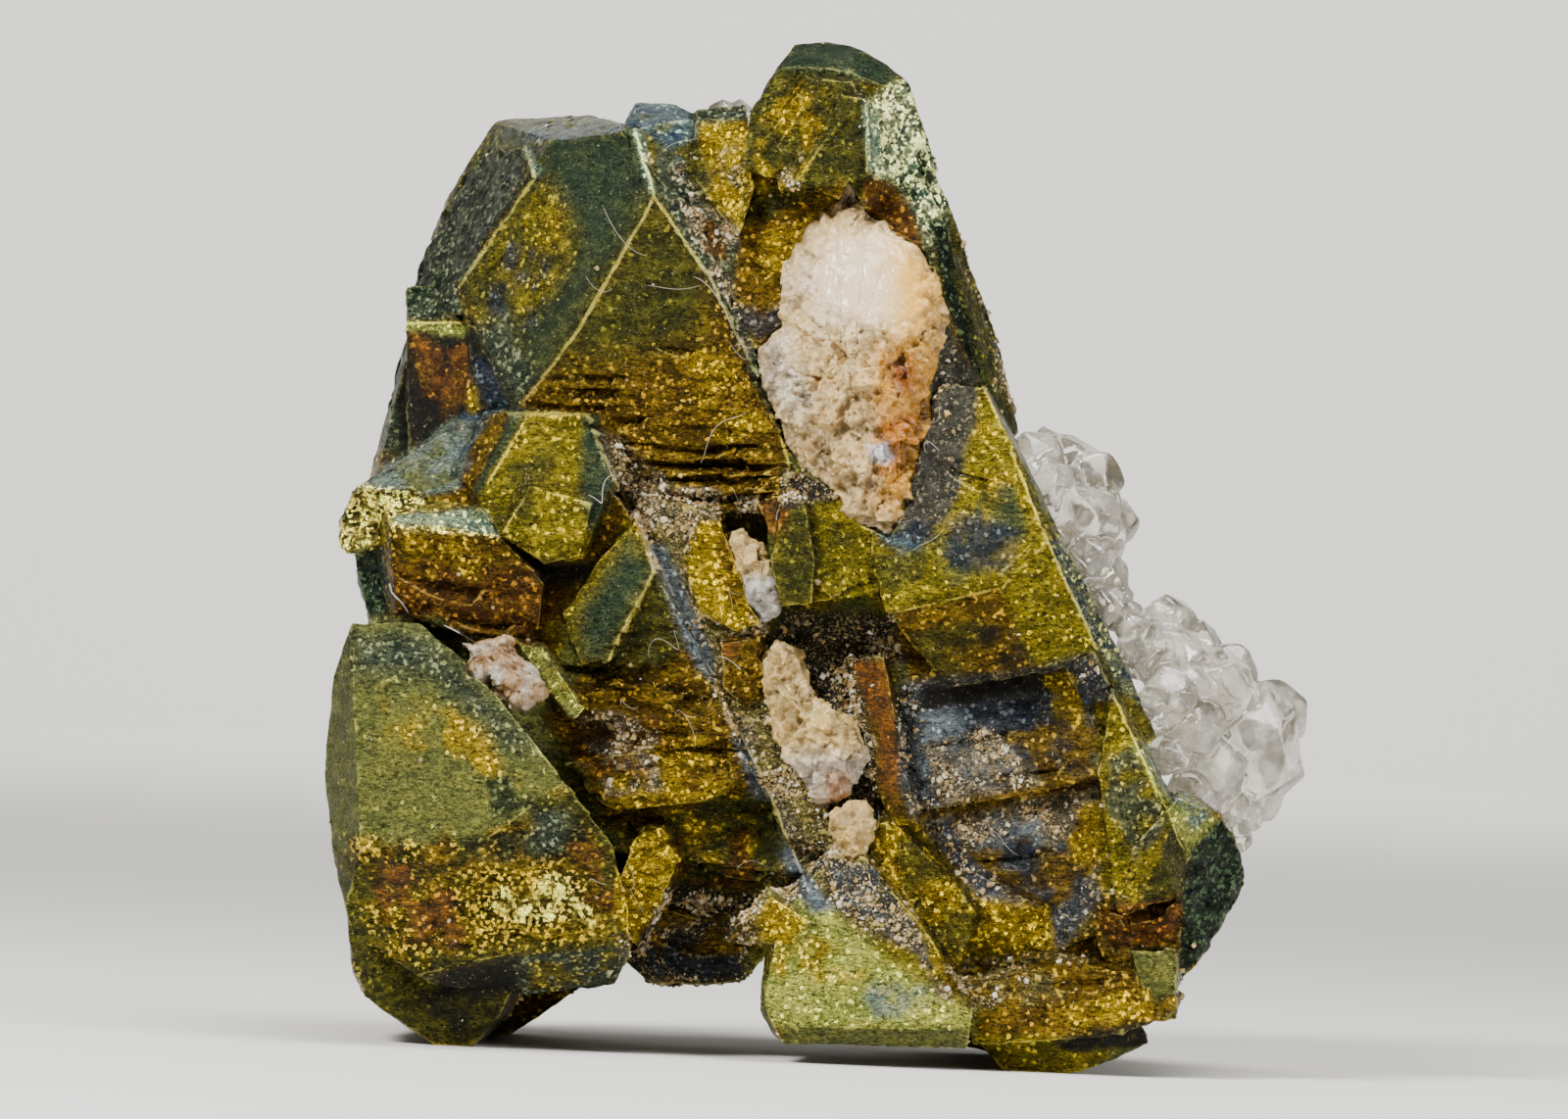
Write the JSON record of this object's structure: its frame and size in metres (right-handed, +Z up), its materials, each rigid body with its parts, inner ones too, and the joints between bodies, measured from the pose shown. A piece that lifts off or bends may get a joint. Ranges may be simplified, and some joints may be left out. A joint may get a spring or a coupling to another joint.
{
  "type": "mineral specimen",
  "caption": "Cluster of intergrown brassy chalcopyrite crystals with quartz grains and calcite in its hollows, for display on a flat surface.",
  "frame": {"origin": "the centre of the bounding box seen from above, on the ground that the specimen stands on", "axes": "+Z up; the viewer of the display side looks along +Y, with +X to the right; Y is the thickness, the shortest extent"},
  "size_m": [0.0394, 0.0294, 0.041],
  "materials": {
    "chalcopyrite": "brassy metallic lustre with dull olive tarnish",
    "calcite": "cream to orange, waxy and granular",
    "quartz": "colourless, clear, glassy crystals"
  },
  "bodies": {
    "root": {"chalcopyrite_cluster": "chalcopyrite", "calcite_lens": "calcite", "calcite_ribbon_upper": "calcite", "calcite_ribbon_lower": "calcite", "calcite_ribbon_small": "calcite", "quartz_upper": "quartz", "quartz_lower": "quartz", "quartz_tip": "quartz", "quartz_seam": "quartz"}
  },
  "joints": []
}
